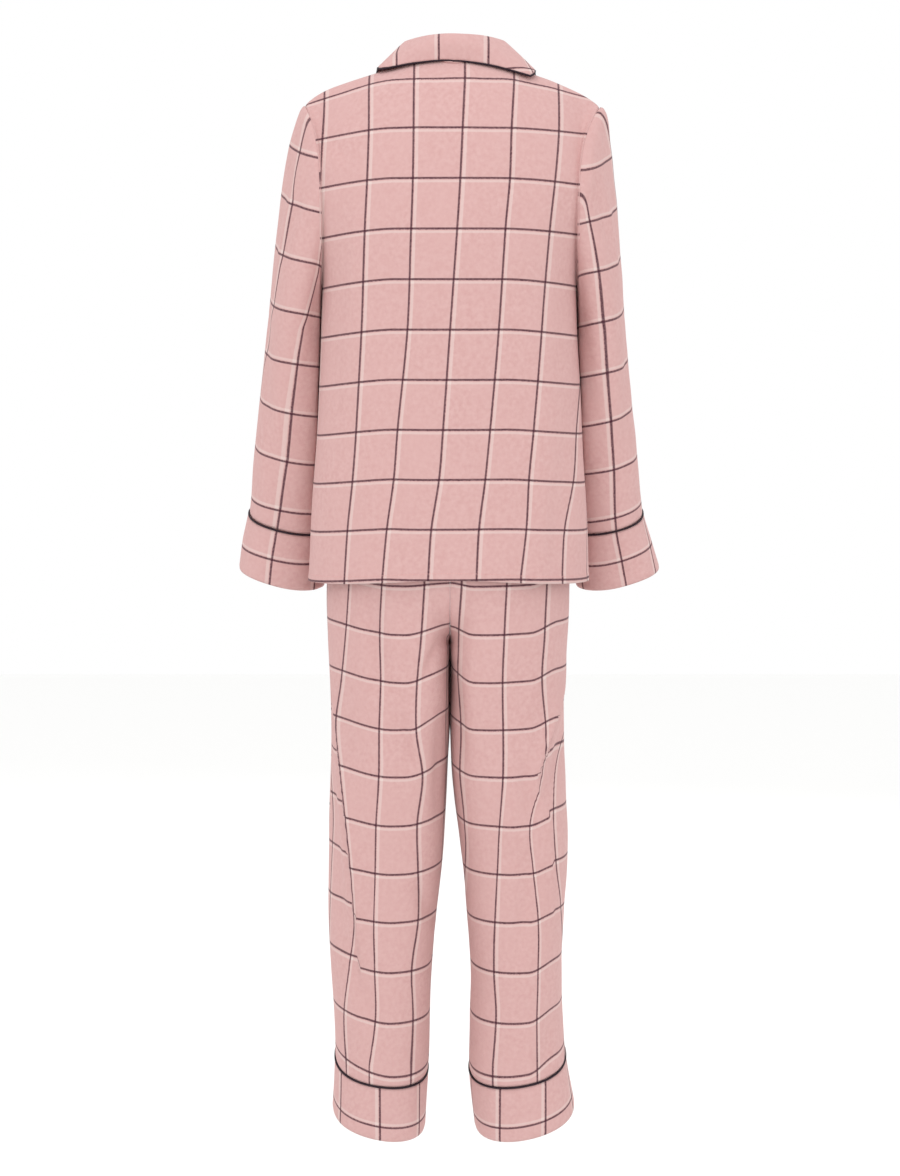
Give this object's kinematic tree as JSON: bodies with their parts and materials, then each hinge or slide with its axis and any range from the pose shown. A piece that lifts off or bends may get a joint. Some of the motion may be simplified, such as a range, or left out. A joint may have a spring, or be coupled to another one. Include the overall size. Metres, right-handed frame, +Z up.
{
  "type": "pyjama set",
  "caption": "Long-sleeved button-front pyjama shirt with a piped notched collar and cuffs, worn over elastic-waist trousers with piped cuffs, hollow and filled out.",
  "frame": {"origin": "midway between the shirt's two neck points, where the shoulder seams meet the collar", "axes": "+Z up the wearer, -Y out of the front, +Y out of the back, +X towards the wearer's left"},
  "size_m": [0.571, 0.2576, 1.4599],
  "materials": {
    "flannel": "brushed cotton flannel, pink with a plum and off-white window check",
    "piping": "satin-faced cotton cord piping, near-black plum",
    "button": "smooth moulded button, pink"
  },
  "bodies": {
    "root": {"button_1": "button", "button_2": "button", "button_3": "button", "button_4": "button", "button_5": "button", "collar": "flannel", "collar_piping": "piping", "lapel_left": "flannel", "lapel_right": "flannel", "leg_back_left": "flannel", "leg_back_right": "flannel", "leg_cuff_left": "flannel", "leg_cuff_right": "flannel", "leg_front_left": "flannel", "leg_front_right": "flannel", "leg_piping_left": "piping", "leg_piping_right": "piping", "shirt_back": "flannel", "shirt_front_left": "flannel", "shirt_front_right": "flannel", "sleeve_cuff_left": "flannel", "sleeve_cuff_right": "flannel", "sleeve_left": "flannel", "sleeve_piping_left": "piping", "sleeve_piping_right": "piping", "sleeve_right": "flannel", "waistband": "flannel"}
  },
  "joints": []
}
